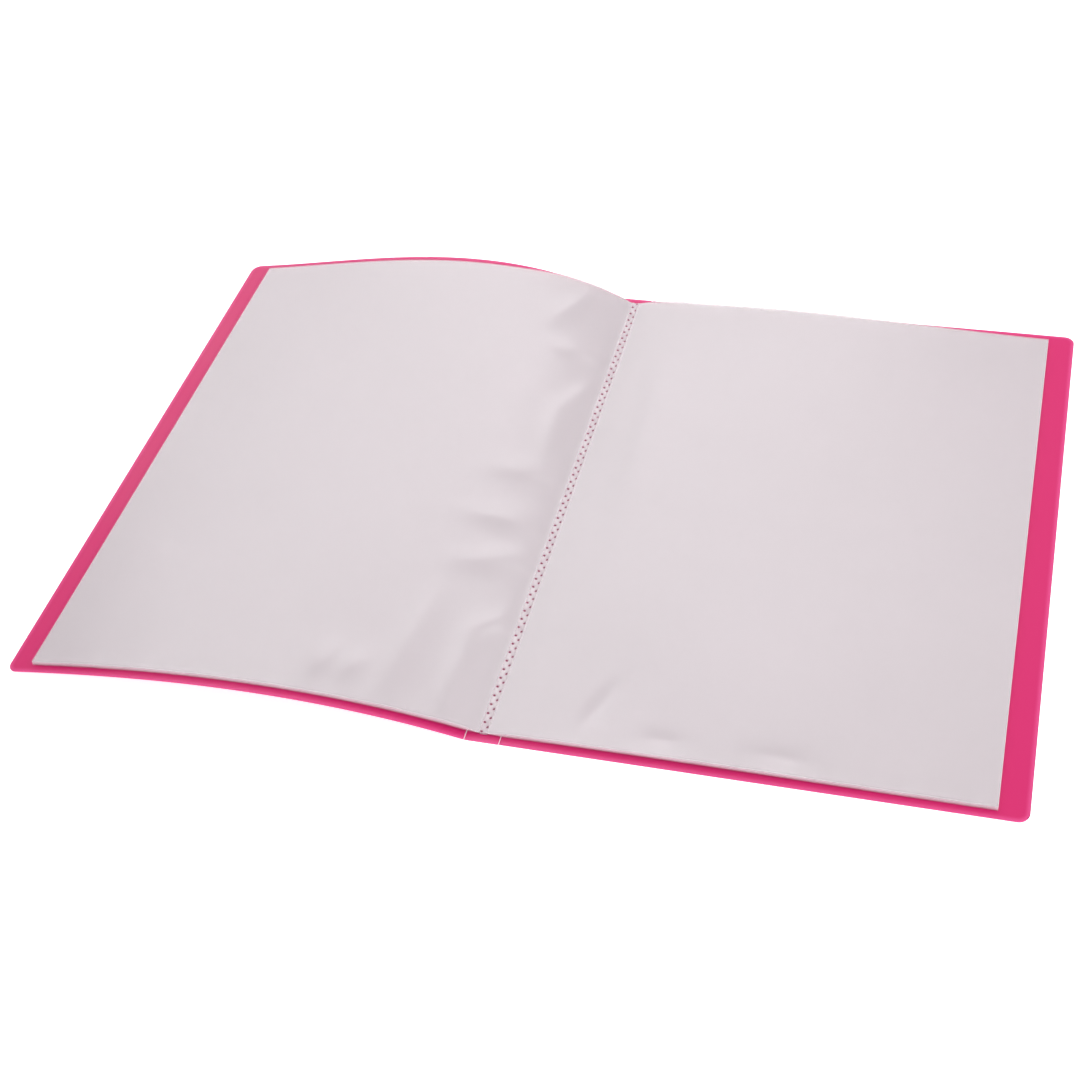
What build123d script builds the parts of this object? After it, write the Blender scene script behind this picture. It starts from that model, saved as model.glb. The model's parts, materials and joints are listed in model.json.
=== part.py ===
"""Pocket display book for A4 sheets, lying open at its middle with the front half bowed up.

X runs across the open book, Y along the spine away from the reader, Z up.
The origin is the middle of the spine, on the surface that the book lies on.
The front cover and the leaves already turned are on the left, at negative X.
"""

import os

from build123d import *

# Cover: one sheet with two pressed creases, sizes in millimetres
cover_height = 310.0
panel_width = 227.0
spine_width = 16.0
cover_thickness = 0.6
cover_corner_radius = 5.0
trim_allowance = 2.0
crease_width = 0.9
crease_web_thickness = 0.2
crease_web_clearance = 0.05

# Pockets: each leaf is two films, open at the far end
leaves_per_side = 10
film_thickness = 0.05
film_gap = 0.06
cover_to_film_gap = 0.3
pocket_near_margin = 4.0
pocket_far_margin = 6.0
pocket_side_margin = 13.0

# Seam that welds all the films together along the spine
weld_width = 4.0
weld_to_film_gap = 0.6
weld_row_spacing = 2.0
weld_dot_diameter = 1.1
weld_dot_depth = 0.15
weld_dot_pitch = 5.1
weld_end_margin = 0.75

# Heights that draw the bow, at a third and at two thirds of the way from the spine to the rim
left_near_inner_rise = 18.3
left_near_outer_rise = 12.3
left_far_inner_rise = 37.3
left_far_outer_rise = 10.3
right_near_film_rise = 2.0
right_far_film_rise = 10.5
left_film_spring = 0.8

# Places that follow from the sizes above
spine_half = spine_width / 2
crease_half = crease_width / 2
panel_edge = spine_half + crease_half
pocket_near_end = pocket_near_margin - cover_height / 2
pocket_far_end = cover_height / 2 - pocket_far_margin
pocket_height = pocket_far_end - pocket_near_end
pocket_middle = (pocket_near_end + pocket_far_end) / 2
film_edge = weld_width / 2 + weld_to_film_gap
film_pitch = film_thickness + film_gap
first_film_height = cover_thickness + cover_to_film_gap
weld_thickness = 2 * leaves_per_side * film_thickness
LEFT = -1
RIGHT = 1


def between(near, far, y):
    """Value at y on a straight line from the cover's near end to its far end."""
    share = (y + cover_height / 2) / cover_height
    return near + share * (far - near)


def plan_width(sheet_width, inner_rise, outer_rise):
    """Width on the table of a sheet whose arch takes up part of its length."""
    climb = 2 * (inner_rise**2 + outer_rise**2) + inner_rise * outer_rise
    return sheet_width - 0.3 * climb / sheet_width


def leading_part(inner_rise, outer_rise, share):
    """Four drawing heights of an arch that is drawn only up to a share of its span."""
    first = share * inner_rise
    middle = (1 - share) * inner_rise + share * outer_rise
    last = (1 - share) * outer_rise
    second = (1 - share) * first + share * middle
    third = (1 - share) * middle + share * last
    return 0.0, first, second, (1 - share) * second + share * third


def arch_points(side, start, end, heights, y, base):
    """Drawing points of one end of a bowed sheet, evenly spaced from the spine outwards."""
    steps = len(heights) - 1
    return [
        (side * (start + (end - start) * step / steps), y, base + height)
        for step, height in enumerate(heights)
    ]


def bowed_sheet(near_points, far_points, thickness):
    """Solid sheet of even thickness between a near and a far arch."""
    surface = Face.make_bezier_surface([near_points, far_points])
    return Solid.extrude(surface, Vector(0, 0, thickness))


def panel_outline(side, rim_near, rim_far):
    """Outline of a cover panel seen from above, with the two corners at the rim rounded."""
    half = cover_height / 2
    near_rim = Vector(side * rim_near, -half)
    far_rim = Vector(side * rim_far, half)
    corners = [Vector(side * panel_edge, -half), near_rim, far_rim, Vector(side * panel_edge, half)]
    outline = Face(Wire.make_polygon(corners, close=True))
    rim_vertices = outline.vertices().sort_by_distance((side * (rim_near + rim_far) / 2, 0, 0))[:2]
    return outline.fillet_2d(cover_corner_radius, rim_vertices)


# Where the rim of each half stands over the table, at the near and the far end
left_rim_near = spine_half + plan_width(panel_width, left_near_inner_rise, left_near_outer_rise)
left_rim_far = spine_half + plan_width(panel_width, left_far_inner_rise, left_far_outer_rise)
right_rim = spine_half + panel_width


def make_front_cover():
    """Left panel of the cover, bowed up between the crease and the rim."""
    ends = []
    for y in (-cover_height / 2 - trim_allowance, cover_height / 2 + trim_allowance):
        rim = between(left_rim_near, left_rim_far, y)
        inner = between(left_near_inner_rise, left_far_inner_rise, y)
        outer = between(left_near_outer_rise, left_far_outer_rise, y)
        untrimmed = rim + trim_allowance
        share = (untrimmed - spine_half) / (rim - spine_half)
        ends.append(arch_points(LEFT, spine_half, untrimmed, leading_part(inner, outer, share), y, 0.0))
    tallest = left_near_inner_rise + left_far_inner_rise
    outline = Pos(0, 0, -tallest) * panel_outline(LEFT, left_rim_near, left_rim_far)
    return bowed_sheet(*ends, cover_thickness) & extrude(outline, 2 * tallest, dir=(0, 0, 1))


def make_back_cover():
    """Right panel of the cover, flat on the table."""
    return extrude(panel_outline(RIGHT, right_rim, right_rim), cover_thickness, dir=(0, 0, 1))


def make_spine_panel():
    """Strip between the creases, with the thin webs left in the two creases at its edges."""
    strip_half = spine_half - crease_half
    web_half = panel_edge - crease_web_clearance
    strip = Box(2 * strip_half, cover_height, cover_thickness)
    webs = Box(2 * web_half, cover_height, crease_web_thickness)
    return Pos(0, 0, cover_thickness / 2) * (strip + webs)


def make_weld_seam():
    """Fused strip of all the films, pressed with two staggered rows of weld dots."""
    seam_top = cover_thickness + weld_thickness
    seam_middle = Pos(0, pocket_middle, cover_thickness + weld_thickness / 2)
    seam = seam_middle * Box(weld_width, pocket_height, weld_thickness)
    row_length = pocket_height - 2 * weld_end_margin
    dots_per_row = int((row_length - weld_dot_pitch / 2) / weld_dot_pitch) + 1
    used_length = (dots_per_row - 1) * weld_dot_pitch + weld_dot_pitch / 2
    dots = []
    for row, x in enumerate((-weld_row_spacing / 2, weld_row_spacing / 2)):
        for dot in range(dots_per_row):
            y = pocket_middle - used_length / 2 + (dot + row / 2) * weld_dot_pitch
            dots.append(Pos(x, y, seam_top) * Cylinder(weld_dot_diameter / 2, 2 * weld_dot_depth))
    return seam - dots


def make_film(side, level):
    """One film of a pocket, counted upwards from the cover, from the weld to the pocket's outer edge."""
    base = first_film_height + level * film_pitch
    ends = []
    for y in (pocket_near_end, pocket_far_end):
        if side == LEFT:
            rim = between(left_rim_near, left_rim_far, y)
            inner = between(left_near_inner_rise, left_far_inner_rise, y)
            outer = between(left_near_outer_rise, left_far_outer_rise, y) + left_film_spring
        else:
            rim = right_rim
            inner = between(right_near_film_rise, right_far_film_rise, y)
            outer = 0.0
        outer_edge = rim - pocket_side_margin
        share = (outer_edge - film_edge) / (rim - film_edge)
        heights = leading_part(inner, outer, share)
        ends.append(arch_points(side, film_edge, outer_edge, heights, y, base))
    return bowed_sheet(*ends, film_thickness)


def make_parts():
    """Every piece of the book by name, leaf 01 on top of its side and leaf 10 next to the cover."""
    parts = {
        "front_cover": make_front_cover(),
        "back_cover": make_back_cover(),
        "spine_panel": make_spine_panel(),
        "weld_seam": make_weld_seam(),
    }
    for name, side in (("left", LEFT), ("right", RIGHT)):
        for leaf in range(1, leaves_per_side + 1):
            lower_level = 2 * (leaves_per_side - leaf)
            parts[f"{name}_leaf_{leaf:02d}_lower_film"] = make_film(side, lower_level)
            parts[f"{name}_leaf_{leaf:02d}_upper_film"] = make_film(side, lower_level + 1)
    return parts


os.makedirs("parts", exist_ok=True)
for node, solid in make_parts().items():
    export_step(solid, f"parts/{node}.step")
stack_top = first_film_height + 2 * leaves_per_side * film_pitch - film_gap
print(f"left rim {left_rim_near:.1f} near, {left_rim_far:.1f} far, right rim {right_rim:.1f}")
print(f"pockets {pocket_height:.1f} high, stack {first_film_height:.2f} to {stack_top:.2f}")
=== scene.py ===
"""Dresses the open pocket display book and sets it in a plain pale studio.

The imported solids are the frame. Each cover panel, the spine strip, the welded seam and every
pocket leaf is modelled afresh on its own solid, given its finish, lit and framed.
Lengths are in metres. X runs across the book, Y along the spine away from the reader, Z up.
"""

import json
import logging
import math
from collections.abc import Callable
from dataclasses import dataclass
from enum import Enum

import bmesh
import bpy
from mathutils import Matrix, Vector, noise

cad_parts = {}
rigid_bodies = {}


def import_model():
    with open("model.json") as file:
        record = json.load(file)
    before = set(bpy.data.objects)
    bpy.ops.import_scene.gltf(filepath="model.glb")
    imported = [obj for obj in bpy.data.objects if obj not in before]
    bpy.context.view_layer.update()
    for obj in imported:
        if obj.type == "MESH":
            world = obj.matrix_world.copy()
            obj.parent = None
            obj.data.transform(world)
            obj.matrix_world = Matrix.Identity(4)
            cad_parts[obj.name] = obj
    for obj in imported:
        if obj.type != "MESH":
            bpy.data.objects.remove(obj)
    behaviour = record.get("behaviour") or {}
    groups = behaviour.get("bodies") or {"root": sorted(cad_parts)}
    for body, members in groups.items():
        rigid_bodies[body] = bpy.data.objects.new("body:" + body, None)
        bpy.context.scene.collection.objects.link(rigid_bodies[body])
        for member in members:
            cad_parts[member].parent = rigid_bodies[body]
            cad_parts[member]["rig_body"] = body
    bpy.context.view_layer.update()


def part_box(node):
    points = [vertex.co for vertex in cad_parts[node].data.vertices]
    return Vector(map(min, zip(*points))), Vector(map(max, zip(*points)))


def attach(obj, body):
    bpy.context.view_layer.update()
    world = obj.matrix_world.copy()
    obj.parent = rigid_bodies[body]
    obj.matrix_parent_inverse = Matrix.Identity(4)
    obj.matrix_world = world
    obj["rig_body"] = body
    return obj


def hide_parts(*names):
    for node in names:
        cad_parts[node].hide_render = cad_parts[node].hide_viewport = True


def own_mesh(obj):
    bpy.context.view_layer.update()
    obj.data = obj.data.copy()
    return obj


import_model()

MM = 0.001
PHOTO_PIXELS = 1080
SENSOR_WIDTH_MM = 36.0
POLYPROPYLENE_IOR = 1.49

log = logging.getLogger("display_book")

Colour = tuple[float, float, float, float]
Place = Callable[[float, float, bool], Vector]


class Side(Enum):
    """Half of the open book, by the sign of its X."""

    LEFT = -1
    RIGHT = 1

    @property
    def word(self) -> str:
        """Side's name as the frame's nodes and bodies spell it."""
        return self.name.lower()


class Face(Enum):
    """Material slot of a sheet: its broad faces, its cut edges or a whitened crease."""

    BROAD = 0
    EDGE = 1
    CREASE = 2


def smooth_step(low: float, high: float, value: float) -> float:
    """Eases from 0 at low to 1 at high.

    Args:
        low: Value where the ease starts.
        high: Value where the ease ends.
        value: Value to place between them.

    Returns:
        Share between 0 and 1.
    """
    share = min(max((value - low) / (high - low), 0.0), 1.0)
    return share * share * (3.0 - 2.0 * share)


# Shader nodes


class NodeBench:
    """Adds, sets and links the nodes of one shader tree."""

    COLOUR_INPUTS = (6, 7)
    COLOUR_OUTPUT = 2

    def __init__(self, tree: bpy.types.NodeTree) -> None:
        """Empties the tree and keeps it."""
        self.tree = tree
        self.tree.nodes.clear()

    def join(self, source: object, socket: bpy.types.NodeSocket) -> None:
        """Links a source to an input, or sets a plain value on it.

        Args:
            source: Socket, or the value itself.
            socket: Input that receives.
        """
        if isinstance(source, bpy.types.NodeSocket):
            self.tree.links.new(source, socket)
        else:
            socket.default_value = source

    def add(self, kind: str, **settings: object) -> bpy.types.Node:
        """Adds a node.

        Args:
            kind: Blender's name of the node type.
            **settings: Properties of the node.

        Returns:
            The new node.
        """
        node = self.tree.nodes.new(kind)
        for name, value in settings.items():
            setattr(node, name, value)
        return node

    def feed(self, node: bpy.types.Node, **inputs: object) -> bpy.types.Node:
        """Links sockets to a node's inputs, or sets plain values on them.

        Args:
            node: Node that receives.
            **inputs: Input name, with spaces written as underscores, to a socket or a value.

        Returns:
            The same node.
        """
        for name, source in inputs.items():
            self.join(source, node.inputs[name.replace("_", " ")])
        return node

    def math(self, operation: str, first: object, second: object = 0.0) -> bpy.types.NodeSocket:
        """Calculates with one or two values.

        Args:
            operation: Blender's name of the operation.
            first: Socket or number.
            second: Socket or number.

        Returns:
            The result's socket.
        """
        node = self.add("ShaderNodeMath", operation=operation)
        for slot, source in enumerate((first, second)):
            self.join(source, node.inputs[slot])
        return node.outputs[0]

    def blend(self, share: bpy.types.NodeSocket, low: object, high: object) -> bpy.types.NodeSocket:
        """Mixes two colours.

        Args:
            share: Socket from 0 for low to 1 for high.
            low: Colour or colour socket.
            high: Colour or colour socket.

        Returns:
            The mixed colour's socket.
        """
        node = self.add("ShaderNodeMix", data_type="RGBA")
        self.join(share, node.inputs[0])
        for slot, source in zip(self.COLOUR_INPUTS, (low, high)):
            self.join(source, node.inputs[slot])
        return node.outputs[self.COLOUR_OUTPUT]

    def ramp(self, value: bpy.types.NodeSocket, low: float, high: float,
             to_low: float, to_high: float) -> bpy.types.NodeSocket:
        """Eases a value from one range to another.

        Args:
            value: Socket to read.
            low: Value that gives to_low.
            high: Value that gives to_high.
            to_low: Result at low.
            to_high: Result at high.

        Returns:
            The result's socket.
        """
        node = self.add("ShaderNodeMapRange", interpolation_type="SMOOTHSTEP")
        for slot, source in enumerate((value, low, high, to_low, to_high)):
            self.join(source, node.inputs[slot])
        return node.outputs[0]

    def noise(self, vector: bpy.types.NodeSocket, scale: object, detail: float,
              roughness: float = 0.5) -> bpy.types.NodeSocket:
        """Adds a noise texture.

        Args:
            vector: Socket of the place on the surface.
            scale: Socket or number of features to the metre.
            detail: Octaves.
            roughness: Weight of the finer octaves.

        Returns:
            The noise value's socket.
        """
        node = self.add("ShaderNodeTexNoise")
        self.feed(node, Vector=vector, Scale=scale, Detail=detail, Roughness=roughness)
        return node.outputs[0]

    def bump(self, height: bpy.types.NodeSocket, distance: float, strength: float) -> bpy.types.NodeSocket:
        """Adds relief.

        Args:
            height: Socket of the relief's height, from 0 to 1.
            distance: Depth of the relief.
            strength: Share of it that shows.

        Returns:
            The normal's socket.
        """
        node = self.add("ShaderNodeBump")
        return self.feed(node, Height=height, Distance=distance, Strength=strength).outputs[0]

    def attribute(self, name: str) -> bpy.types.NodeSocket:
        """Socket of a value that the mesh keeps on each point."""
        return self.add("ShaderNodeAttribute", attribute_name=name).outputs["Fac"]

    def place(self) -> bpy.types.NodeSocket:
        """Socket of the place on the piece."""
        return self.add("ShaderNodeTexCoord").outputs["Object"]

    def show(self, shader: bpy.types.Node) -> None:
        """Makes a shader the surface of the material."""
        self.feed(self.add("ShaderNodeOutputMaterial"), Surface=shader.outputs[0])


def blank_material(name: str) -> tuple[bpy.types.Material, NodeBench]:
    """Starts a material.

    Args:
        name: Name of the finish.

    Returns:
        The material and a bench on its empty tree.
    """
    made = bpy.data.materials.new(name)
    made.use_nodes = True
    return made, NodeBench(made.node_tree)


def effect_group(name: str, inputs: tuple[str, ...], outputs: tuple[str, ...]) -> tuple[
        NodeBench, bpy.types.Node, bpy.types.Node]:
    """Starts a shader node group that takes a place and numbers and gives values.

    Args:
        name: Name of the group.
        inputs: Names of the number inputs, after the place.
        outputs: Names of the value outputs.

    Returns:
        Bench on the group's tree, its input node and its output node.
    """
    tree = bpy.data.node_groups.new(name, "ShaderNodeTree")
    tree.interface.new_socket("Place", in_out="INPUT", socket_type="NodeSocketVector")
    for word in inputs:
        tree.interface.new_socket(word, in_out="INPUT", socket_type="NodeSocketFloat")
    for word in outputs:
        tree.interface.new_socket(word, in_out="OUTPUT", socket_type="NodeSocketFloat")
    bench = NodeBench(tree)
    return bench, bench.add("NodeGroupInput"), bench.add("NodeGroupOutput")


def pressed_grain() -> bpy.types.NodeTree:
    """Makes the fine pressed grain of extruded sheet, with a soft mottle.

    Returns:
        Group that gives the grain's height and the mottle.
    """
    bench, given, result = effect_group("pressed_grain", ("Grain", "Mottle"), ("Height", "Mottle"))
    place = given.outputs["Place"]
    fine = bench.noise(place, given.outputs["Grain"], detail=3.0, roughness=0.6)
    broad = bench.noise(place, given.outputs["Mottle"], detail=4.0)
    bench.feed(result, Height=fine, Mottle=broad)
    return bench.tree


def drawn_streaks() -> bpy.types.NodeTree:
    """Makes the fine streaks that drawing leaves along thin film.

    Returns:
        Group that gives the streaks' height.
    """
    along_spine = 0.06
    streak_share = 0.4
    bench, given, result = effect_group("drawn_streaks", ("Streak", "Rumple"), ("Height",))
    place = given.outputs["Place"]
    stretched = bench.add("ShaderNodeMapping")
    bench.feed(stretched, Vector=place, Scale=(1.0, along_spine, 1.0))
    streaks = bench.noise(stretched.outputs[0], given.outputs["Streak"], detail=1.0)
    rumple = bench.noise(place, given.outputs["Rumple"], detail=1.0)
    bench.feed(result, Height=bench.math("ADD", bench.math("MULTIPLY", streaks, streak_share), rumple))
    return bench.tree


class Effects:
    """Node groups that several finishes share, each made once."""

    def __init__(self) -> None:
        """Builds the groups."""
        self.grain = pressed_grain()
        self.streaks = drawn_streaks()


@dataclass(frozen=True)
class SheetFinish:
    """Coloured polypropylene sheet with a satin pressed surface."""

    name: str
    colour: Colour
    shade: Colour
    roughness: tuple[float, float]
    grain: float = 2600.0
    mottle: float = 9.0
    mottle_span: tuple[float, float] = (0.3, 0.7)
    relief: float = 0.02 * MM
    relief_strength: float = 0.6
    # Colour of a painted highlight that lightens the sheet towards its cut rim, and the width it fades over.
    rim: Colour | None = None
    rim_width: float = 2.6 * MM
    glow: float = 0.0

    def material(self, effects: Effects) -> bpy.types.Material:
        """Builds the material.

        Args:
            effects: Shared node groups.

        Returns:
            The new material.
        """
        made, bench = blank_material(self.name)
        group = bench.add("ShaderNodeGroup", node_tree=effects.grain)
        bench.feed(group, Place=bench.place(), Grain=self.grain, Mottle=self.mottle)
        colour = bench.blend(group.outputs["Mottle"], self.shade, self.colour)
        # Painted highlight: the colour lightens towards the cut rim.
        if self.rim:
            inside = bench.attribute(CoverPanel.RIM_DISTANCE)
            colour = bench.blend(bench.ramp(inside, 0.0, self.rim_width, 1.0, 0.0), colour, self.rim)
        rough = bench.ramp(group.outputs["Mottle"], *self.mottle_span, *self.roughness)
        normal = bench.bump(group.outputs["Height"], self.relief, self.relief_strength)
        shader = bench.add("ShaderNodeBsdfPrincipled")
        bench.feed(shader, Base_Color=colour, Roughness=rough, IOR=POLYPROPYLENE_IOR, Normal=normal)
        if self.glow:
            bench.feed(shader, Emission_Color=self.colour, Emission_Strength=self.glow)
        bench.show(shader)
        return made


@dataclass(frozen=True)
class FilmFinish:
    """Clear pocket film that veils what lies under it, milkier along its welded edges."""

    name: str
    colour: Colour
    tint: Colour
    veil: float
    veil_change: float
    band_veil: float
    streaked: bool
    gloss: float = 1.0
    stack_ior: float = 1.75
    roughness: tuple[float, float] = (0.27, 0.35)
    band_place: float = 1.6 * MM
    band_width: float = 1.1 * MM
    streak: float = 420.0
    rumple: float = 52.0
    relief: float = 0.12 * MM
    relief_strength: float = 0.5

    def material(self, effects: Effects) -> bpy.types.Material:
        """Builds the material.

        Args:
            effects: Shared node groups.

        Returns:
            The new material.
        """
        made, bench = blank_material(self.name)
        cloud = bench.attribute(Sleeve.CLOUD)
        edge = bench.attribute(Sleeve.EDGE_DISTANCE)
        off_band = bench.math("ABSOLUTE", bench.math("SUBTRACT", edge, self.band_place))
        band = bench.ramp(off_band, 0.0, self.band_width, self.band_veil, 0.0)
        haze = bench.ramp(cloud, 0.0, 1.0, self.veil - self.veil_change, self.veil + self.veil_change)
        shader = bench.add("ShaderNodeBsdfPrincipled")
        bench.feed(shader, IOR=self.stack_ior, Specular_IOR_Level=self.gloss)
        bench.feed(shader, Base_Color=bench.blend(cloud, self.tint, self.colour))
        bench.feed(shader, Roughness=bench.ramp(cloud, 0.0, 1.0, *self.roughness))
        bench.feed(shader, Alpha=bench.math("ADD", haze, band))
        if self.streaked:
            group = bench.add("ShaderNodeGroup", node_tree=effects.streaks)
            bench.feed(group, Place=bench.place(), Streak=self.streak, Rumple=self.rumple)
            bench.feed(shader, Normal=bench.bump(group.outputs["Height"], self.relief, self.relief_strength))
        bench.show(shader)
        return made


@dataclass(frozen=True)
class WeldFinish:
    """Fused film of the seam, with the coloured spine showing through the pressed dots."""

    name: str
    colour: Colour
    pucker: Colour
    halo: Colour
    dot: Colour
    veil: float
    grain: float = 900.0
    mottle: float = 160.0
    patch_span: tuple[float, float] = (0.35, 0.6)
    patch_least: float = 0.2
    halo_full: float = 0.4
    dot_span: tuple[float, float] = (0.42, 0.75)
    roughness: tuple[float, float] = (0.32, 0.22)
    relief: float = 0.05 * MM
    relief_strength: float = 0.6

    def material(self, effects: Effects) -> bpy.types.Material:
        """Builds the material.

        Args:
            effects: Shared node groups.

        Returns:
            The new material.
        """
        made, bench = blank_material(self.name)
        group = bench.add("ShaderNodeGroup", node_tree=effects.grain)
        bench.feed(group, Place=bench.place(), Grain=self.grain, Mottle=self.mottle)
        dot = bench.attribute(WeldStrip.DOT)
        raised = bench.attribute(WeldStrip.PUCKER)
        patches = bench.ramp(group.outputs["Mottle"], *self.patch_span, self.patch_least, 1.0)
        fused = bench.blend(bench.math("MULTIPLY", raised, patches), self.colour, self.pucker)
        ringed = bench.blend(bench.ramp(dot, 0.0, self.halo_full, 0.0, 1.0), fused, self.halo)
        colour = bench.blend(bench.ramp(dot, *self.dot_span, 0.0, 1.0), ringed, self.dot)
        normal = bench.bump(group.outputs["Height"], self.relief, self.relief_strength)
        shader = bench.add("ShaderNodeBsdfPrincipled")
        bench.feed(shader, Base_Color=colour, Roughness=bench.ramp(dot, 0.0, 1.0, *self.roughness))
        bench.feed(shader, IOR=POLYPROPYLENE_IOR, Normal=normal)
        bench.feed(shader, Alpha=bench.ramp(dot, 0.0, 1.0, self.veil, 1.0))
        bench.show(shader)
        return made


# The pink sheet's rim colour is a painted highlight along its cut rim and the spine strip's ends.
PINK_SHEET = SheetFinish(
    "pink_sheet", (0.70, 0.006, 0.152, 1), (0.66, 0.005, 0.137, 1), (0.34, 0.44),
    rim=(0.80, 0.06, 0.26, 1))
# Cut edge faces in a lighter pink: a painted highlight of light glowing out of the sheet's edges.
PINK_EDGE_HIGHLIGHT = SheetFinish(
    "pink_cut_edge", (0.82, 0.08, 0.29, 1), (0.78, 0.06, 0.25, 1), (0.30, 0.42),
    relief=0.01 * MM)
WHITENED_CREASE = SheetFinish(
    "whitened_crease", (1.0, 0.84, 0.91, 1), (0.98, 0.72, 0.83, 1), (0.40, 0.52),
    mottle=120.0)
# The films' grey-pink colours carry a pink tint painted in for the pink cover's light coming through the
# stacked films.
CLEAR_FILM = FilmFinish(
    "clear_film", (0.805, 0.735, 0.765, 1), (0.775, 0.705, 0.74, 1),
    veil=0.22, veil_change=0.02, band_veil=0.04, streaked=True)
UNDER_FILM = FilmFinish(
    "under_film", (0.805, 0.735, 0.765, 1), (0.775, 0.705, 0.74, 1),
    veil=0.22, veil_change=0.02, band_veil=0.04, streaked=False)
# Top leaf's edge faces in near white: a painted highlight of light glowing out of the film's edges.
FILM_EDGE_HIGHLIGHT = FilmFinish(
    "film_edge", (1.0, 0.90, 0.95, 1), (0.97, 0.86, 0.91, 1),
    veil=0.50, veil_change=0.08, band_veil=0.0, streaked=False)
# Lower leaves' edge faces in dark pink: a painted reflection of the pink cover with painted shade.
UNDER_EDGE_REFLECTION_AND_SHADE = FilmFinish(
    "under_edge", (0.88, 0.34, 0.53, 1), (0.84, 0.26, 0.46, 1),
    veil=0.45, veil_change=0.08, band_veil=0.0, streaked=False)
FUSED_WELD = WeldFinish(
    "fused_weld", (0.70, 0.585, 0.635, 1), pucker=(0.80, 0.715, 0.75, 1), halo=(0.77, 0.59, 0.665, 1),
    dot=(0.26, 0.05, 0.10, 1), veil=0.92)
PALE_FLOOR = SheetFinish(
    "pale_floor", (0.97, 0.97, 0.97, 1), (0.955, 0.955, 0.955, 1), (0.80, 0.90),
    grain=700.0, mottle=1.5, glow=0.85)


class Materials:
    """Every finish of the book and the floor's, built once."""

    def __init__(self) -> None:
        """Builds the materials from the finishes."""
        effects = Effects()
        self.sheet = PINK_SHEET.material(effects)
        self.cut_edge = PINK_EDGE_HIGHLIGHT.material(effects)
        self.crease = WHITENED_CREASE.material(effects)
        self.top_film = CLEAR_FILM.material(effects)
        self.under_film = UNDER_FILM.material(effects)
        self.top_edge = FILM_EDGE_HIGHLIGHT.material(effects)
        self.under_edge = UNDER_EDGE_REFLECTION_AND_SHADE.material(effects)
        self.weld = FUSED_WELD.material(effects)
        self.floor = PALE_FLOOR.material(effects)


# Shapes of the bowed halves


@dataclass(frozen=True)
class Arch:
    """Cubic arch of a sheet from its start near the spine to the rim, unlike at its two ends."""

    start: float
    rim_near: float
    rim_far: float
    near_rises: tuple[float, float]
    far_rises: tuple[float, float]
    half_height: float

    def along(self, near: float, far: float, y: float) -> float:
        """Value at y on a straight line between the near and the far end."""
        return near + (far - near) * (y + self.half_height) / (2.0 * self.half_height)

    def rim(self, y: float) -> float:
        """Distance of the rim from the middle of the spine at y."""
        return self.along(self.rim_near, self.rim_far, y)

    def height(self, reach: float, y: float) -> float:
        """Rise of the arch.

        Args:
            reach: Distance from the middle of the spine.
            y: Place along the spine.

        Returns:
            Height over the flat sheet.
        """
        t = min(max((reach - self.start) / (self.rim(y) - self.start), 0.0), 1.0)
        inner = self.along(self.near_rises[0], self.far_rises[0], y)
        outer = self.along(self.near_rises[1], self.far_rises[1], y)
        return 3.0 * t * (1.0 - t) * ((1.0 - t) * inner + t * outer)


@dataclass(frozen=True)
class Wrinkle:
    """Soft ridge or hollow in the films, straight in plan and fading at its ends."""

    x: float
    y: float
    turn: float
    length: float
    width: float
    height: float

    def lift(self, x: float, y: float) -> float:
        """Height that the wrinkle adds.

        Args:
            x: Place across the book.
            y: Place along the spine.

        Returns:
            The height, below zero in a hollow.
        """
        turn = math.radians(self.turn)
        along = (x - self.x) * math.cos(turn) + (y - self.y) * math.sin(turn)
        across = (y - self.y) * math.cos(turn) - (x - self.x) * math.sin(turn)
        return self.height * math.exp(-((along / self.length) ** 2) - (across / self.width) ** 2)


def wrinkle(x: float, y: float, turn: float, length: float, width: float, height: float) -> Wrinkle:
    """Makes a wrinkle from sizes in millimetres and a turn in degrees."""
    return Wrinkle(x * MM, y * MM, turn, length * MM, width * MM, height * MM)


CURL_HEIGHT = 1.0 * MM
CURL_RUN = 18.0 * MM


def far_curl(far_end: float, y: float) -> float:
    """Height to which the seam and the films beside it curl up at their far end."""
    return CURL_HEIGHT * smooth_step(far_end - CURL_RUN, far_end, y)


LEFT_WRINKLES = (
    wrinkle(-31, 150, 0, 24, 10, 2.5),
    wrinkle(-30, 128, 55, 18, 6, 2.1),
    wrinkle(-16, 97, 3, 17, 6, 2.6),
    wrinkle(-9, 68, 61, 14, 5, 1.8),
    wrinkle(-17, 38, 92, 18, 6, 1.5),
    wrinkle(-20, 5, 12, 18, 6, 2.1),
    wrinkle(-21, -29, 3, 19, 6, 2.0),
    wrinkle(-20, -55, 19, 20, 6, 2.0),
    wrinkle(-12, -92, 45, 14, 5, 1.6),
    wrinkle(-20, -122, 90, 24, 5, 2.0),
    wrinkle(-45, -112, 86, 30, 7, 2.2),
    wrinkle(-80, -132, 70, 10, 6, 1.4),
    wrinkle(-66, -133, 60, 8, 5, 1.2),
)
RIGHT_WRINKLES = (
    wrinkle(21, 150, 0, 14, 9, 1.8),
    wrinkle(28, 40, 92, 90, 7, 1.3),
    wrinkle(47, -131, 69, 13, 4, -1.3),
    wrinkle(78, -144, 0, 9, 4, -1.0),
    wrinkle(130, -144, 0, 12, 4, -1.0),
)


# Meshes


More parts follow.
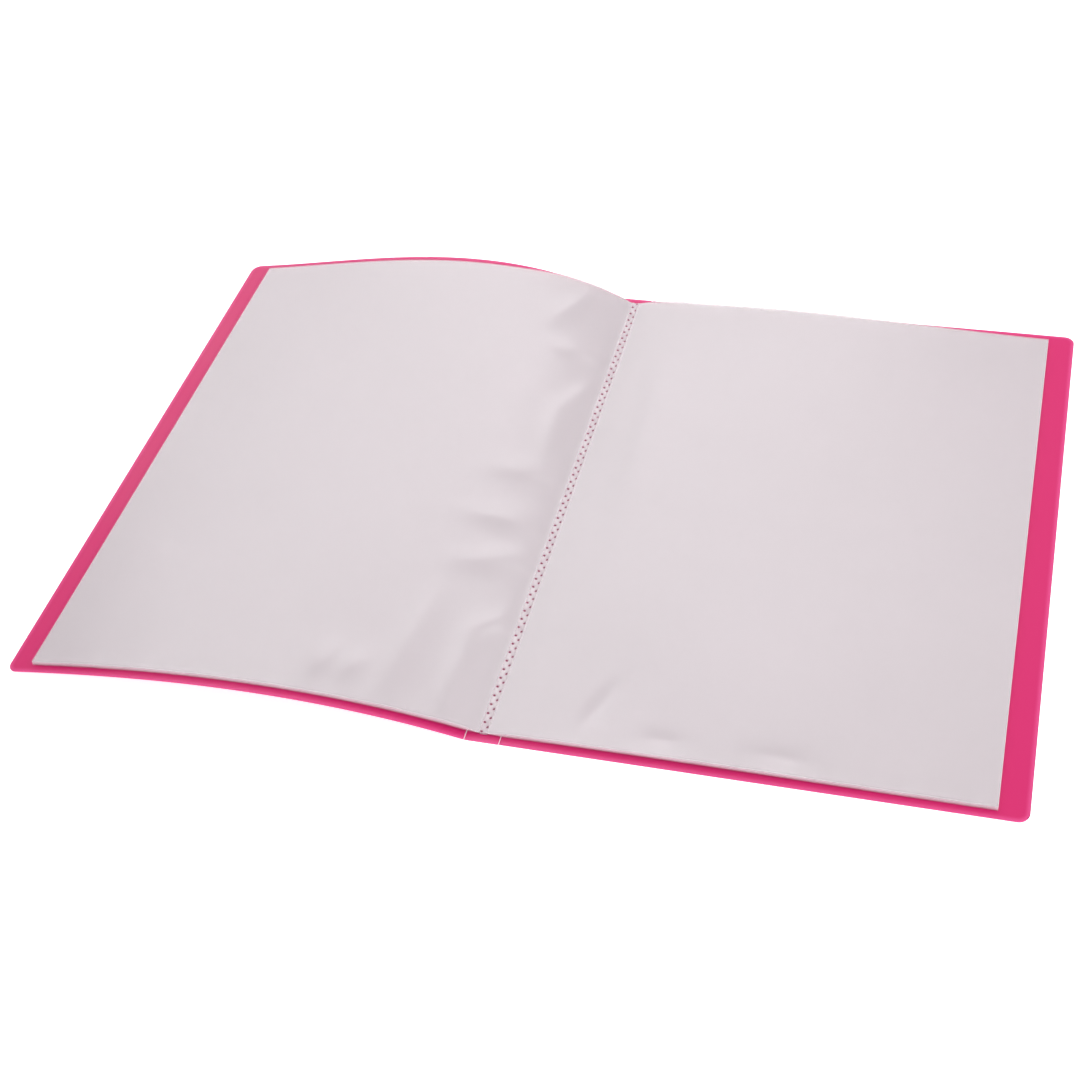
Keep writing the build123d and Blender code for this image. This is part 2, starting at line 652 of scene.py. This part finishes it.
def sheet_mesh(name: str, columns: int, rows: int, place: Place,
               bevel: float = 0.0, tags: dict[str, Callable[[float, float], float]] | None = None,
               ) -> bpy.types.Object:
    """Shapes a closed sheet from an even grid.

    Args:
        name: Name of the piece.
        columns: Grid squares from the spine outwards.
        rows: Grid squares from the near to the far end.
        place: Gives the point for a share outwards, a share away from the reader and upper or lower.
        bevel: Width of the eased cut edges, or nothing.
        tags: Values to keep on each point by name, from the same two shares.

    Returns:
        The new piece, with its cut edges in the second material slot.
    """
    bm = bmesh.new()
    bmesh.ops.create_grid(bm, x_segments=columns, y_segments=rows, size=0.5)
    bmesh.ops.solidify(bm, geom=bm.faces[:], thickness=1.0)
    middle = sum(vert.co.z for vert in bm.verts) / len(bm.verts)
    layers = {word: bm.verts.layers.float.new(word) for word in tags or {}}
    upper = {vert: vert.co.z > middle for vert in bm.verts}
    for face in bm.faces:
        sides = {upper[vert] for vert in face.verts}
        face.material_index = Face.EDGE.value if len(sides) == 2 else Face.BROAD.value
        face.smooth = True
    for vert, on_top in upper.items():
        outwards = vert.co.x + 0.5
        away = vert.co.y + 0.5
        for word, layer in layers.items():
            vert[layer] = tags[word](outwards, away)
        vert.co = place(outwards, away, on_top)
    bmesh.ops.recalc_face_normals(bm, faces=bm.faces[:])
    rims = [edge for edge in bm.edges if len({face.material_index for face in edge.link_faces}) == 2]
    if bevel:
        bmesh.ops.bevel(bm, geom=rims, offset=bevel, offset_type="OFFSET", affect="EDGES", segments=2,
                        profile=0.5, material=-1)
    else:
        for edge in rims:
            edge.smooth = False
    mesh = bpy.data.meshes.new(name)
    bm.to_mesh(mesh)
    bm.free()
    piece = bpy.data.objects.new(name, mesh)
    bpy.context.scene.collection.objects.link(piece)
    return piece


def dress(piece: bpy.types.Object, broad: bpy.types.Material, edge: bpy.types.Material) -> None:
    """Gives a sheet the material of its broad faces and that of its cut edges."""
    piece.data.materials.append(broad)
    piece.data.materials.append(edge)


@dataclass
class CoverPanel:
    """One stiff panel of the cover, with rounded corners at its rim."""

    side: Side
    node: str
    arch: Arch
    inner_edge: float
    thickness: float
    corner_radius: float = 5.0 * MM
    eased_edge: float = 0.12 * MM
    columns: int = 96
    rows: int = 64
    corner_columns: float = 0.14

    RIM_DISTANCE = "rim_distance"

    def spot(self, outwards: float, away: float) -> tuple[float, float]:
        """Distance from the spine and place along it for two shares.

        Args:
            outwards: Share from the crease to the rim.
            away: Share from the near to the far end, with more steps towards both.

        Returns:
            The distance and the place.
        """
        half = self.arch.half_height
        straight = 1.0 - self.corner_columns
        width = self.arch.rim(0.0) - self.inner_edge
        corner = self.corner_radius / width
        if outwards <= straight:
            share = outwards / straight * (1.0 - corner)
            pinch = 0.0
        else:
            angle = (outwards - straight) / self.corner_columns * math.pi / 2.0
            share = 1.0 - corner * (1.0 - math.sin(angle))
            pinch = self.corner_radius * (1.0 - math.cos(angle))
        y = -math.cos(math.pi * away) * (half - pinch)
        return self.inner_edge + (self.arch.rim(y) - self.inner_edge) * share, y

    def rim_distance(self, outwards: float, away: float) -> float:
        """Distance to the nearest cut rim of the panel.

        Args:
            outwards: Share from the crease to the rim.
            away: Share from the near to the far end.

        Returns:
            The distance, round the corners too.
        """
        reach, y = self.spot(outwards, away)
        from_rim = self.arch.rim(y) - reach
        from_end = self.arch.half_height - abs(y)
        radius = self.corner_radius
        if max(from_rim, from_end) < radius:
            return max(radius - math.hypot(radius - from_rim, radius - from_end), 0.0)
        return min(from_rim, from_end)

    def place(self, outwards: float, away: float, on_top: bool) -> Vector:
        """Point of the panel.

        Args:
            outwards: Share from the crease to the rim.
            away: Share from the near to the far end.
            on_top: Upper face of the sheet, not the lower one.

        Returns:
            The point in the frame.
        """
        reach, y = self.spot(outwards, away)
        lift = self.thickness if on_top else 0.0
        return Vector((self.side.value * reach, y, self.arch.height(reach, y) + lift))

    def build(self, materials: Materials) -> bpy.types.Object:
        """Builds and dresses the panel.

        Args:
            materials: Ready materials.

        Returns:
            The finished piece.
        """
        # The rim distance places the painted highlight along the rim.
        tags = {self.RIM_DISTANCE: self.rim_distance}
        piece = sheet_mesh(f"{self.node}_sheet", self.columns, self.rows, self.place, self.eased_edge, tags)
        dress(piece, materials.sheet, materials.cut_edge)
        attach(piece, self.node)
        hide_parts(self.node)
        return piece


@dataclass
class SpineStrip:
    """Strip between the creases, with a thin whitened web on each side."""

    strip_half: float
    web_half: float
    half_height: float
    thickness: float
    web_thickness: float = 0.2 * MM
    flank: float = 0.12 * MM
    white_line: float = 0.4 * MM
    rows: int = 60

    def crease_middle(self) -> float:
        """Distance of a crease's white line from the middle of the spine."""
        return (self.strip_half + self.web_half) / 2

    def stations(self) -> list[tuple[float, float]]:
        """Steps across the strip.

        Returns:
            Place and thickness at each step, from left to right.
        """
        shoulder = self.strip_half - self.flank
        line_start = self.crease_middle() - self.white_line / 2
        line_end = self.crease_middle() + self.white_line / 2
        half = [(x, self.thickness) for x in (0.0, shoulder / 2, shoulder)]
        half += [(x, self.web_thickness) for x in (self.strip_half, line_start, line_end, self.web_half)]
        return [(-x, depth) for x, depth in reversed(half[1:])] + half

    def build(self, materials: Materials) -> bpy.types.Object:
        """Builds and dresses the strip.

        Args:
            materials: Ready materials.

        Returns:
            The finished piece.
        """
        stations = self.stations()
        steps = len(stations) - 1

        def place(outwards: float, away: float, on_top: bool) -> Vector:
            """Point of the strip.

            Args:
                outwards: Share across the strip.
                away: Share from the near to the far end.
                on_top: Upper face, not the lower one.

            Returns:
                The point in the frame.
            """
            x, depth = stations[round(outwards * steps)]
            offset = depth / 2 if on_top else -depth / 2
            return Vector((x, (2.0 * away - 1.0) * self.half_height, self.thickness / 2 + offset))

        def rim_distance(outwards: float, away: float) -> float:
            """Distance to the nearer end of the strip."""
            return self.half_height * (1.0 - abs(2.0 * away - 1.0))

        tags = {CoverPanel.RIM_DISTANCE: rim_distance}
        piece = sheet_mesh("spine_strip", steps, self.rows, place, tags=tags)
        dress(piece, materials.sheet, materials.cut_edge)
        piece.data.materials.append(materials.crease)
        for face in piece.data.polygons:
            if face.material_index == Face.BROAD.value:
                face.use_smooth = False
                if abs(abs(face.center.x) - self.crease_middle()) < self.white_line / 4:
                    face.material_index = Face.CREASE.value
        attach(piece, "spine")
        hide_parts("spine_panel")
        return piece


@dataclass
class WeldStrip:
    """Seam of fused films with two staggered rows of pressed dots and puckers between them."""

    half_width: float
    near_end: float
    far_end: float
    low: float
    high: float
    dot_depth: float = 0.28 * MM
    dot_pitch: float = 5.1 * MM
    row_offset: float = 1.0 * MM
    end_margin: float = 0.75 * MM
    valley: float = 0.43 * MM
    pucker_height: float = 0.16 * MM
    dot_ease: tuple[float, float] = (0.22 * MM, 1.045 * MM)
    pucker_ease: tuple[float, float] = (0.66 * MM, 1.43 * MM)
    pucker_fade: tuple[float, float] = (1.0 * MM, 1.9 * MM)
    columns: int = 28
    rows: int = 1500

    DOT = "weld_dot"
    PUCKER = "weld_pucker"

    def first_dot(self) -> float:
        """First dot of the left row.

        Returns:
            Its place along the spine.
        """
        room = self.far_end - self.near_end - 2.0 * self.end_margin - self.dot_pitch / 2
        steps = int(room / self.dot_pitch)
        return (self.near_end + self.far_end - steps * self.dot_pitch - self.dot_pitch / 2) / 2

    def nearest_dot(self, x: float, y: float) -> float:
        """Distance to the nearest dot centre.

        Args:
            x: Place across the seam.
            y: Place along the seam.

        Returns:
            The distance.
        """
        found = []
        for row, centre in enumerate((-self.row_offset, self.row_offset)):
            first = self.first_dot() + row * self.dot_pitch / 2
            step = round((y - first) / self.dot_pitch)
            found.append(math.hypot(x - centre, y - first - step * self.dot_pitch))
        return min(found)

    def spot(self, outwards: float, away: float) -> tuple[float, float]:
        """Place across and along the seam for two shares."""
        y = self.near_end + away * (self.far_end - self.near_end)
        return (2.0 * outwards - 1.0) * self.half_width, y

    def dot(self, outwards: float, away: float) -> float:
        """How far a spot is inside a dot, from 0 to 1."""
        return 1.0 - smooth_step(*self.dot_ease, self.nearest_dot(*self.spot(outwards, away)))

    def pucker(self, outwards: float, away: float) -> float:
        """How far a spot is on the drawn-up film between the dots.

        Args:
            outwards: Share across the seam.
            away: Share from the near to the far end.

        Returns:
            Share from 0 to 1.
        """
        x, y = self.spot(outwards, away)
        between = smooth_step(*self.pucker_ease, self.nearest_dot(x, y))
        return between * (1.0 - smooth_step(*self.pucker_fade, abs(x)))

    def place(self, outwards: float, away: float, on_top: bool) -> Vector:
        """Point of the seam.

        Args:
            outwards: Share across the seam.
            away: Share from the near to the far end.
            on_top: Upper face, not the lower one.

        Returns:
            The point in the frame.
        """
        x, y = self.spot(outwards, away)
        curl = far_curl(self.far_end, y)
        if not on_top:
            return Vector((x, y, self.low + curl))
        z = self.high + curl + self.valley * smooth_step(0.0, self.half_width, abs(x))
        z += self.pucker_height * self.pucker(outwards, away)
        return Vector((x, y, z - self.dot_depth * self.dot(outwards, away)))

    def build(self, materials: Materials) -> bpy.types.Object:
        """Builds and dresses the seam.

        Args:
            materials: Ready materials.

        Returns:
            The finished piece.
        """
        tags = {self.DOT: self.dot, self.PUCKER: self.pucker}
        piece = sheet_mesh("weld_strip", self.columns, self.rows, self.place, tags=tags)
        dress(piece, materials.weld, materials.weld)
        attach(piece, "spine")
        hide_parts("weld_seam")
        return piece


@dataclass
class Sleeve:
    """One pocket leaf: two films welded along the near end and the outer edge, open at the far end."""

    side: Side
    number: int
    leaves: int
    arch: Arch
    wrinkles: tuple[Wrinkle, ...]
    start: float
    outer_margin: float
    film_thickness: float = 0.05 * MM
    seam_level: float = 1.85 * MM
    lip_share: float = 0.18
    lip_run: float = 9.0 * MM
    curl_fade: tuple[float, float] = (3.0 * MM, 12.0 * MM)
    wrinkle_run: float = 6.0 * MM
    ripple_height: float = 0.35 * MM
    ripple_fade: float = 14.0 * MM
    ripple_length: float = 31.0 * MM
    ripple_start: tuple[float, float] = (10.0 * MM, 40.0 * MM)
    ripple_waves: tuple[float, float] = (0.3, 0.2)
    ripple_second: float = 2.3
    end_scatter: float = 0.25 * MM
    scatter_step: float = 2.4
    spine_crowding: float = 1.2
    cloud_size: float = 60.0 * MM
    cloud_shift: float = 170.0 * MM
    cloud_octaves: int = 3
    flat_clearance: float = 0.1 * MM
    flat_keep: float = 0.004
    top_grid: tuple[int, int] = (160, 170)
    under_grid: tuple[int, int] = (84, 56)

    EDGE_DISTANCE = "edge_distance"
    CLOUD = "cloud"

    def __post_init__(self) -> None:
        """Reads the leaf's place from its two films in the frame."""
        self.body = f"{self.side.word}_leaf_{self.number:02d}"
        self.nodes = (f"{self.body}_upper_film", f"{self.body}_lower_film")
        upper_low, upper_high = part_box(self.nodes[0])
        lower_low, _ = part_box(self.nodes[1])
        self.low = lower_low.z
        self.high = upper_low.z + self.film_thickness
        self.near_end = upper_low.y
        self.far_end = upper_high.y
        self.depth_share = 1.0 - (self.number - 1) / self.leaves

    def outer(self, y: float) -> float:
        """Distance of the leaf's outer edge from the middle of the spine at y."""
        return self.arch.rim(y) - self.outer_margin

    def spot(self, outwards: float, away: float) -> tuple[float, float]:
        """Distance from the spine and place along it.

        Args:
            outwards: Share from the seam to the outer edge, with more steps towards the seam.
            away: Share from the near to the far end.

        Returns:
            The distance and the place.
        """
        shift = self.end_scatter * math.sin(self.scatter_step * self.number)
        y = self.near_end + shift + (self.far_end - self.near_end - shift) * away
        return self.start + (self.outer(y) - self.start) * outwards ** self.spine_crowding, y

    def edge_distance(self, outwards: float, away: float) -> float:
        """Distance to the nearer of the two welded edges."""
        reach, y = self.spot(outwards, away)
        return min(self.outer(y) - reach, y - self.near_end)

    def cloud(self, outwards: float, away: float) -> float:
        """Milkiness of the film.

        Args:
            outwards: Share from the seam to the outer edge.
            away: Share from the near to the far end.

        Returns:
            Share from 0 to 1.
        """
        reach, y = self.spot(outwards, away)
        spot = Vector((self.side.value * reach, y, self.number * self.cloud_shift)) / self.cloud_size
        level = noise.fractal(spot, 1.0, 2.0, self.cloud_octaves)
        return min(max(0.5 + 0.5 * level, 0.0), 1.0)

    def ripple(self, reach: float, y: float) -> float:
        """Small waves of the films along the near end.

        Args:
            reach: Distance from the middle of the spine.
            y: Place along the spine.

        Returns:
            Height that the waves add.
        """
        fade = math.exp(-((y - self.near_end) / self.ripple_fade))
        turn = 2.0 * math.pi * reach / self.ripple_length
        first, second = self.ripple_waves
        wave = 0.5 + first * math.sin(turn) + second * math.sin(self.ripple_second * turn + 1.0)
        return self.ripple_height * fade * wave * smooth_step(*self.ripple_start, reach)

    def place(self, outwards: float, away: float, on_top: bool) -> Vector:
        """Point of the leaf.

        Args:
            outwards: Share from the seam to the outer edge.
            away: Share from the near to the far end.
            on_top: Upper film, not the lower one.

        Returns:
            The point in the frame.
        """
        reach, y = self.spot(outwards, away)
        x = self.side.value * reach
        from_seam = reach - self.start
        level = self.high if on_top else self.low
        lip = self.lip_share + (1.0 - self.lip_share) * smooth_step(0.0, self.lip_run, from_seam)
        z = self.seam_level + (level - self.seam_level) * lip + self.arch.height(reach, y)
        z += far_curl(self.far_end, y) * (1.0 - smooth_step(*self.curl_fade, reach))
        lift = sum(fold.lift(x, y) for fold in self.wrinkles) * smooth_step(0.0, self.wrinkle_run, from_seam)
        return Vector((x, y, z + self.depth_share * (lift + self.ripple(reach, y))))

    def build(self, materials: Materials, fold: str) -> bpy.types.Object:
        """Builds and dresses the leaf.

        Args:
            materials: Ready materials.
            fold: Joint of the crease that closes this half; not used.

        Returns:
            The finished piece.
        """
        on_top = self.number == 1
        columns, rows = self.top_grid if on_top else self.under_grid
        tags = {self.EDGE_DISTANCE: self.edge_distance, self.CLOUD: self.cloud}
        name = f"{self.side.word}_sleeve_{self.number:02d}"
        piece = sheet_mesh(name, columns, rows, self.place, tags=tags)
        # Edge faces: painted highlight on the top leaf, painted pink reflection and shade on the leaves
        # below.
        if on_top:
            dress(piece, materials.top_film, materials.top_edge)
        else:
            dress(piece, materials.under_film, materials.under_edge)
        piece.visible_shadow = self.number in (1, self.leaves)
        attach(piece, self.body)
        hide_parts(*self.nodes)
        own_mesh(piece)
        return piece


@dataclass
class DisplayBook:
    """Whole book: the cover's two panels and spine, the seam, and the leaves of both halves."""

    leaves: int = 10
    panel_width: float = 227.0 * MM
    left_near_rises: tuple[float, float] = (18.3 * MM, 12.3 * MM)
    left_far_rises: tuple[float, float] = (37.3 * MM, 10.3 * MM)
    left_film_spring: float = 0.8 * MM
    right_near_rises: tuple[float, float] = (2.0 * MM, 0.0)
    right_far_rises: tuple[float, float] = (10.5 * MM, 0.0)
    cover_flat_keep: float = 0.1
    seam_half: float = 1.75 * MM
    seam_gap: float = 0.05 * MM

    def __post_init__(self) -> None:
        """Reads the driving places from the frame."""
        back_low, back_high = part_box("back_cover")
        film_low, film_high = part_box("right_leaf_01_upper_film")
        web_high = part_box("spine_panel")[1]
        self.half_height = back_high.y
        self.thickness = back_high.z
        self.panel_edge = back_low.x
        self.right_rim = back_high.x
        self.crease = self.right_rim - self.panel_width
        self.web_half = web_high.x
        self.film_start = film_low.x
        self.outer_margin = self.right_rim - film_high.x

    def plan_width(self, rises: tuple[float, float]) -> float:
        """Width on the table of a panel whose arch takes up part of its length."""
        inner, outer = rises
        return self.panel_width - 0.3 * (2.0 * (inner**2 + outer**2) + inner * outer) / self.panel_width

    def left_arch(self, start: float, spring: float) -> Arch:
        """Arch of the left half.

        Args:
            start: Distance of the arch's inner end from the middle of the spine.
            spring: Extra rise of the outer part.

        Returns:
            The arch.
        """
        return Arch(
            start=start,
            rim_near=self.crease + self.plan_width(self.left_near_rises),
            rim_far=self.crease + self.plan_width(self.left_far_rises),
            near_rises=(self.left_near_rises[0], self.left_near_rises[1] + spring),
            far_rises=(self.left_far_rises[0], self.left_far_rises[1] + spring),
            half_height=self.half_height,
        )

    def right_arch(self, near: tuple[float, float], far: tuple[float, float]) -> Arch:
        """Arch of the right half with the given rises at its ends."""
        return Arch(self.film_start, self.right_rim, self.right_rim, near, far, self.half_height)

    def covers(self, materials: Materials) -> list[bpy.types.Object]:
        """Builds the two panels and the spine strip.

        Args:
            materials: Ready materials.

        Returns:
            The finished pieces.
        """
        flat = (0.0, 0.0)
        bowed_arch = self.left_arch(self.crease, 0.0)
        flat_arch = self.right_arch(flat, flat)
        front = CoverPanel(Side.LEFT, "front_cover", bowed_arch, self.panel_edge, self.thickness)
        back = CoverPanel(Side.RIGHT, "back_cover", flat_arch, self.panel_edge, self.thickness)
        strip_half = 2.0 * self.crease - self.panel_edge
        strip = SpineStrip(strip_half, self.web_half, self.half_height, self.thickness)
        pieces = [panel.build(materials) for panel in (front, back, strip)]
        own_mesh(pieces[0])
        return pieces

    def sleeves(self, materials: Materials) -> list[bpy.types.Object]:
        """Builds the leaves of both halves.

        Args:
            materials: Ready materials.

        Returns:
            The finished pieces.
        """
        left_arch = self.left_arch(self.film_start, self.left_film_spring)
        right_arch = self.right_arch(self.right_near_rises, self.right_far_rises)
        halves = (
            (Side.LEFT, left_arch, LEFT_WRINKLES, "front_crease_fold"),
            (Side.RIGHT, right_arch, RIGHT_WRINKLES, "back_crease_fold"),
        )
        start = self.seam_half + self.seam_gap
        pieces = []
        for side, arch, wrinkles, fold in halves:
            for number in range(1, self.leaves + 1):
                sleeve = Sleeve(side, number, self.leaves, arch, wrinkles, start, self.outer_margin)
                pieces.append(sleeve.build(materials, fold))
        return pieces

    def build(self, materials: Materials) -> list[bpy.types.Object]:
        """Builds every piece in order.

        Args:
            materials: Ready materials.

        Returns:
            The finished pieces.
        """
        pieces = self.covers(materials)
        low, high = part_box("weld_seam")
        pieces.append(WeldStrip(self.seam_half, low.y, high.y, low.z, high.z).build(materials))
        return pieces + self.sleeves(materials)


# Studio


@dataclass(frozen=True)
class SoftBox:
    """Large soft light that looks at the book."""

    name: str
    place: tuple[float, float, float]
    size: tuple[float, float]
    power: float
    aim: tuple[float, float, float] = (0.0, 0.0, 0.0)

    def build(self) -> bpy.types.Object:
        """Builds the light.

        Returns:
            The light's object.
        """
        light = bpy.data.lights.new(self.name, "AREA")
        light.shape = "RECTANGLE"
        light.size, light.size_y = self.size
        light.energy = self.power
        light.cycles.use_multiple_importance_sampling = False
        lamp = bpy.data.objects.new(self.name, light)
        lamp.location = self.place
        lamp.rotation_euler = (Vector(self.aim) - Vector(self.place)).to_track_quat("-Z", "Y").to_euler()
        bpy.context.scene.collection.objects.link(lamp)
        return lamp


@dataclass
class Studio:
    """Pale floor, white surround that brightens to the horizon, and soft lights."""

    floor_half: float = 6.0
    floor_drop: float = 0.05 * MM
    surround: float = 0.48
    horizon: float = 1.0
    haze_top: float = 0.28
    transparent_layers: int = 64
    light_bounces: int = 2
    lights: tuple[SoftBox, ...] = (
        SoftBox("right_key", (1.6, -0.1, 2.0), (1.6, 1.6), 35.6),
        SoftBox("far_left_panel", (-0.556, 1.092, 1.028), (1.56, 1.3), 8.9),
    )

    def lay_floor(self, material: bpy.types.Material) -> None:
        """Builds the floor.

        Args:
            material: Ready floor material.
        """
        bm = bmesh.new()
        bmesh.ops.create_grid(bm, x_segments=8, y_segments=8, size=self.floor_half)
        bmesh.ops.translate(bm, verts=bm.verts[:], vec=(0.0, 0.0, -self.floor_drop))
        mesh = bpy.data.meshes.new("floor")
        bm.to_mesh(mesh)
        bm.free()
        mesh.materials.append(material)
        floor = bpy.data.objects.new("floor", mesh)
        bpy.context.scene.collection.objects.link(floor)

    def surround_light(self) -> bpy.types.World:
        """Builds the white surround.

        Returns:
            The new world.
        """
        world = bpy.data.worlds.new("studio")
        world.use_nodes = True
        bench = NodeBench(world.node_tree)
        direction = bench.add("ShaderNodeSeparateXYZ")
        bench.feed(direction, Vector=bench.add("ShaderNodeTexCoord").outputs["Generated"])
        strength = bench.ramp(direction.outputs["Z"], 0.0, self.haze_top, self.horizon, self.surround)
        background = bench.add("ShaderNodeBackground")
        bench.feed(background, Color=(1.0, 1.0, 1.0, 1.0), Strength=strength)
        bench.feed(bench.add("ShaderNodeOutputWorld"), Surface=background.outputs[0])
        return world

    def build(self, floor_material: bpy.types.Material) -> None:
        """Builds the floor, the surround and the lights.

        Args:
            floor_material: Ready floor material.
        """
        self.lay_floor(floor_material)
        scene = bpy.context.scene
        scene.world = self.surround_light()
        scene.view_settings.view_transform = "Standard"
        scene.cycles.transparent_max_bounces = self.transparent_layers
        scene.cycles.max_bounces = self.light_bounces
        scene.cycles.diffuse_bounces = self.light_bounces
        for light in self.lights:
            light.build()


@dataclass
class PhotoCamera:
    """Camera at the photograph's place, turn and framing."""

    azimuth: float = 18.94
    elevation: float = 45.93
    roll: float = 7.02
    target: tuple[float, float, float] = (19.5 * MM, -26.1 * MM, 0.0)
    distance: float = 849.0 * MM
    focal_pixels: float = 1753.0
    centre_pixels: tuple[float, float] = (594.4, 537.7)

    def build(self) -> bpy.types.Object:
        """Builds the camera and makes it the scene's.

        Returns:
            The camera's object.
        """
        azimuth, elevation, roll = (math.radians(a) for a in (self.azimuth, self.elevation, self.roll))
        forward = Vector((
            -math.sin(azimuth) * math.cos(elevation),
            math.cos(azimuth) * math.cos(elevation),
            -math.sin(elevation),
        ))
        level = Vector((math.cos(azimuth), math.sin(azimuth), 0.0))
        down = forward.cross(level)
        right = math.cos(roll) * level + math.sin(roll) * down
        up = math.sin(roll) * level - math.cos(roll) * down
        lens = bpy.data.cameras.new("photo_camera")
        lens.sensor_width = SENSOR_WIDTH_MM
        lens.lens = self.focal_pixels * SENSOR_WIDTH_MM / PHOTO_PIXELS
        middle = PHOTO_PIXELS / 2
        lens.shift_x = (middle - self.centre_pixels[0]) / PHOTO_PIXELS
        lens.shift_y = (self.centre_pixels[1] - middle) / PHOTO_PIXELS
        camera = bpy.data.objects.new("photo_camera", lens)
        place = Vector(self.target) - self.distance * forward
        axes = Matrix((right, up, -forward)).transposed().to_4x4()
        camera.matrix_world = Matrix.Translation(place) @ axes
        bpy.context.scene.collection.objects.link(camera)
        bpy.context.scene.camera = camera
        return camera


def main() -> None:
    """Builds the book, the studio and the camera."""
    logging.basicConfig(level=logging.INFO, format="%(name)s: %(message)s")
    materials = Materials()
    for piece in DisplayBook().build(materials):
        log.info("%s rides on %s with %d faces", piece.name, piece["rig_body"], len(piece.data.polygons))
    Studio().build(materials.floor)
    PhotoCamera().build()


if __name__ == "__main__":
    main()
